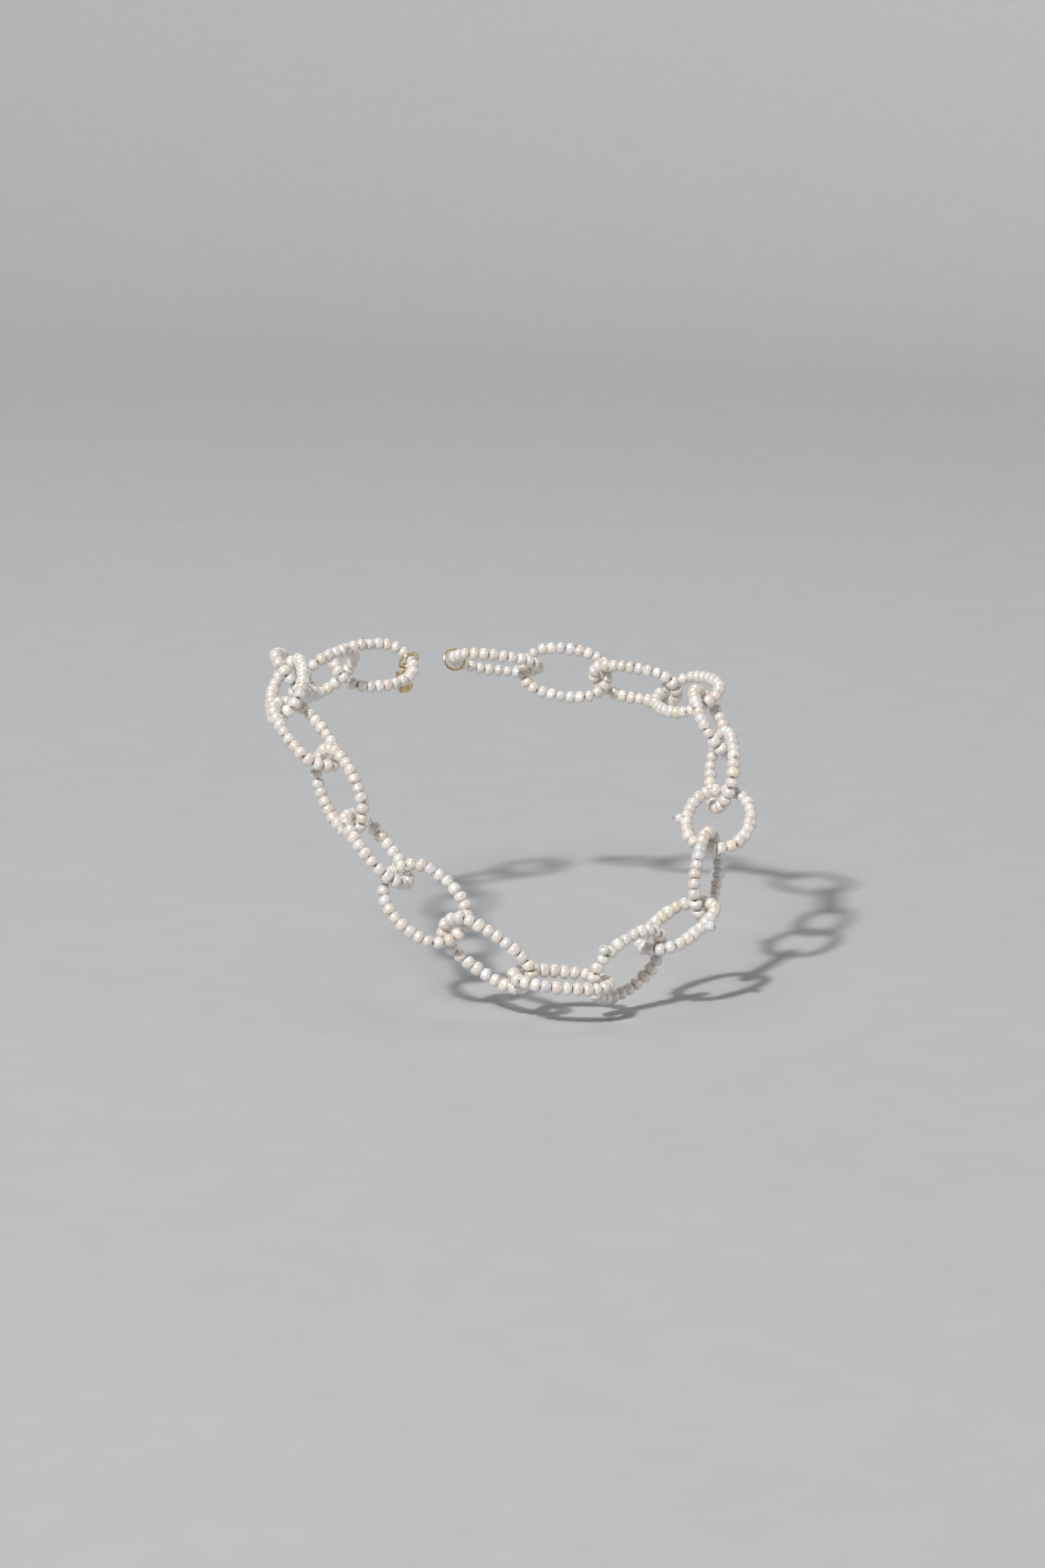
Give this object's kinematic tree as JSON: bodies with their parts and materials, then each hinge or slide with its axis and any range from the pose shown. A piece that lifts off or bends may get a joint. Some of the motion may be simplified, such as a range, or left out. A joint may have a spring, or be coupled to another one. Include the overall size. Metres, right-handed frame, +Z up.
{
  "type": "pearl ring chain necklace",
  "caption": "Necklace of interlinked oval rings of drilled pearls on wire, draped as worn, with a lobster claw clasp unhooked at the nape.",
  "frame": {"origin": "on the axis of the wearer's neck, level with the nape end of the chain", "axes": "+Z up, -Y towards the front of the wearer, +X towards the wearer's left"},
  "size_m": [0.1728, 0.1846, 0.1001],
  "materials": {
    "pearl": "glossy nacre",
    "stringing_wire": "bright",
    "clasp_metal": "polished",
    "spring_steel": "plain"
  },
  "bodies": {
    "link_01": {"link_01_pearls": "pearl", "link_01_wire": "stringing_wire"},
    "link_02": {"link_02_pearls": "pearl", "link_02_wire": "stringing_wire"},
    "link_03": {"link_03_pearls": "pearl", "link_03_wire": "stringing_wire"},
    "link_04": {"link_04_pearls": "pearl", "link_04_wire": "stringing_wire"},
    "link_05": {"link_05_pearls": "pearl", "link_05_wire": "stringing_wire"},
    "link_06": {"link_06_pearls": "pearl", "link_06_wire": "stringing_wire"},
    "link_07": {"link_07_pearls": "pearl", "link_07_wire": "stringing_wire"},
    "link_08": {"link_08_pearls": "pearl", "link_08_wire": "stringing_wire"},
    "link_09": {"link_09_pearls": "pearl", "link_09_wire": "stringing_wire"},
    "link_10": {"link_10_pearls": "pearl", "link_10_wire": "stringing_wire"},
    "link_11": {"link_11_pearls": "pearl", "link_11_wire": "stringing_wire"},
    "link_12": {"link_12_pearls": "pearl", "link_12_wire": "stringing_wire"},
    "link_13": {"link_13_pearls": "pearl", "link_13_wire": "stringing_wire"},
    "link_14": {"link_14_pearls": "pearl", "link_14_wire": "stringing_wire"},
    "link_15": {"link_15_pearls": "pearl", "link_15_wire": "stringing_wire"},
    "link_16": {"link_16_pearls": "pearl", "link_16_wire": "stringing_wire"},
    "link_17": {"link_17_pearls": "pearl", "link_17_wire": "stringing_wire"},
    "link_18": {"link_18_pearls": "pearl", "link_18_wire": "stringing_wire"},
    "link_19": {"link_19_pearls": "pearl", "link_19_wire": "stringing_wire"},
    "link_20": {"link_20_pearls": "pearl", "link_20_wire": "stringing_wire"},
    "claw_ring": {"claw_jump_ring": "clasp_metal"},
    "claw": {"claw_body": "clasp_metal", "claw_pin": "spring_steel", "claw_spring": "spring_steel"},
    "lever": {"claw_lever": "clasp_metal"},
    "end_ring": {"tail_ring": "clasp_metal"}
  },
  "joints": [
    {"name": "swing_01_02", "type": "hinge", "parent": "link_01", "child": "link_02", "pos_m": [-0.04192, 0.04531, -0.00211], "axis": [0.2989, -0.7342, -0.6096], "range_deg": [0, 25]},
    {"name": "swing_02_03", "type": "hinge", "parent": "link_02", "child": "link_03", "pos_m": [-0.06001, 0.02875, -0.00159], "axis": [0.3995, -0.4567, 0.7949], "range_deg": [0, 25]},
    {"name": "swing_03_04", "type": "hinge", "parent": "link_03", "child": "link_04", "pos_m": [-0.07193, 0.005, 0.00545], "axis": [0.4801, -0.4687, -0.7415], "range_deg": [0, 25]},
    {"name": "swing_04_05", "type": "hinge", "parent": "link_04", "child": "link_05", "pos_m": [-0.07684, -0.02058, -0.00369], "axis": [0.5509, -0.3519, 0.7567], "range_deg": [0, 25]},
    {"name": "swing_05_06", "type": "hinge", "parent": "link_05", "child": "link_06", "pos_m": [-0.0702, -0.03816, -0.01557], "axis": [0.1891, -0.6028, 0.7751], "range_deg": [0, 25]},
    {"name": "swing_06_07", "type": "hinge", "parent": "link_06", "child": "link_07", "pos_m": [-0.06272, -0.06093, -0.0351], "axis": [0.1891, -0.6028, 0.7751], "range_deg": [0, 25]},
    {"name": "swing_07_08", "type": "hinge", "parent": "link_07", "child": "link_08", "pos_m": [-0.05526, -0.07503, -0.04764], "axis": [0.7497, 0.0968, 0.6546], "range_deg": [0, 25]},
    {"name": "swing_08_09", "type": "hinge", "parent": "link_08", "child": "link_09", "pos_m": [-0.03806, -0.0939, -0.06455], "axis": [0.7497, 0.0968, 0.6546], "range_deg": [0, 25]},
    {"name": "swing_09_10", "type": "hinge", "parent": "link_09", "child": "link_10", "pos_m": [-0.02189, -0.10331, -0.07691], "axis": [-0.1017, -0.9934, -0.0539], "range_deg": [0, 8]},
    {"name": "swing_10_11", "type": "hinge", "parent": "link_10", "child": "link_11", "pos_m": [0.00918, -0.10634, -0.07978], "axis": [-0.1017, -0.9934, -0.0539], "range_deg": [0, 8]},
    {"name": "swing_11_12", "type": "hinge", "parent": "link_11", "child": "link_12", "pos_m": [0.02625, -0.09921, -0.0712], "axis": [0.5577, -0.8281, 0.0566], "range_deg": [0, 25]},
    {"name": "swing_12_13", "type": "hinge", "parent": "link_12", "child": "link_13", "pos_m": [0.04773, -0.08507, -0.06273], "axis": [0.504, 0.4361, -0.7455], "range_deg": [0, 25]},
    {"name": "swing_13_14", "type": "hinge", "parent": "link_13", "child": "link_14", "pos_m": [0.06009, -0.06453, -0.04236], "axis": [0.504, 0.4361, -0.7455], "range_deg": [0, 25]},
    {"name": "swing_14_15", "type": "hinge", "parent": "link_14", "child": "link_15", "pos_m": [0.07107, -0.04559, -0.03023], "axis": [0.8756, -0.4814, -0.0411], "range_deg": [0, 25]},
    {"name": "swing_15_16", "type": "hinge", "parent": "link_15", "child": "link_16", "pos_m": [0.07515, -0.02876, -0.01898], "axis": [0.7413, 0.1837, -0.6456], "range_deg": [0, 25]},
    {"name": "swing_16_17", "type": "hinge", "parent": "link_16", "child": "link_17", "pos_m": [0.07945, 0.00044, -0.00574], "axis": [0.7413, 0.1837, -0.6456], "range_deg": [0, 25]},
    {"name": "swing_17_18", "type": "hinge", "parent": "link_17", "child": "link_18", "pos_m": [0.077, 0.02127, -0.00712], "axis": [0.409, 0.4318, -0.8039], "range_deg": [0, 25]},
    {"name": "swing_18_19", "type": "hinge", "parent": "link_18", "child": "link_19", "pos_m": [0.05418, 0.04523, -0.00585], "axis": [0.409, 0.4318, -0.8039], "range_deg": [0, 25]},
    {"name": "swing_19_20", "type": "hinge", "parent": "link_19", "child": "link_20", "pos_m": [0.03049, 0.05586, -0.00348], "axis": [0.3389, 0.5387, 0.7713], "range_deg": [0, 25]},
    {"name": "claw_ring_swing", "type": "hinge", "parent": "link_01", "child": "claw_ring", "pos_m": [-0.01269, 0.05514, 0.00039], "axis": [-0.2989, 0.7342, 0.6096], "range_deg": [-20, 20]},
    {"name": "claw_swing", "type": "hinge", "parent": "claw_ring", "child": "claw", "pos_m": [-0.01376, 0.05779, -0.00334], "axis": [-0.9262, -0.377, 0], "range_deg": [-20, 20]},
    {"name": "lever_pivot", "type": "hinge", "parent": "claw", "child": "lever", "pos_m": [-0.01463, 0.05992, -0.00684], "axis": [-0.9262, -0.377, 0], "range_deg": [0, 25], "stiffness_Nm_per_rad": 0.0001},
    {"name": "end_ring_swing", "type": "hinge", "parent": "link_20", "child": "end_ring", "pos_m": [0.00478, 0.05756, 0.00021], "axis": [0.0375, 0.9189, -0.3928], "range_deg": [-20, 20]}
  ]
}
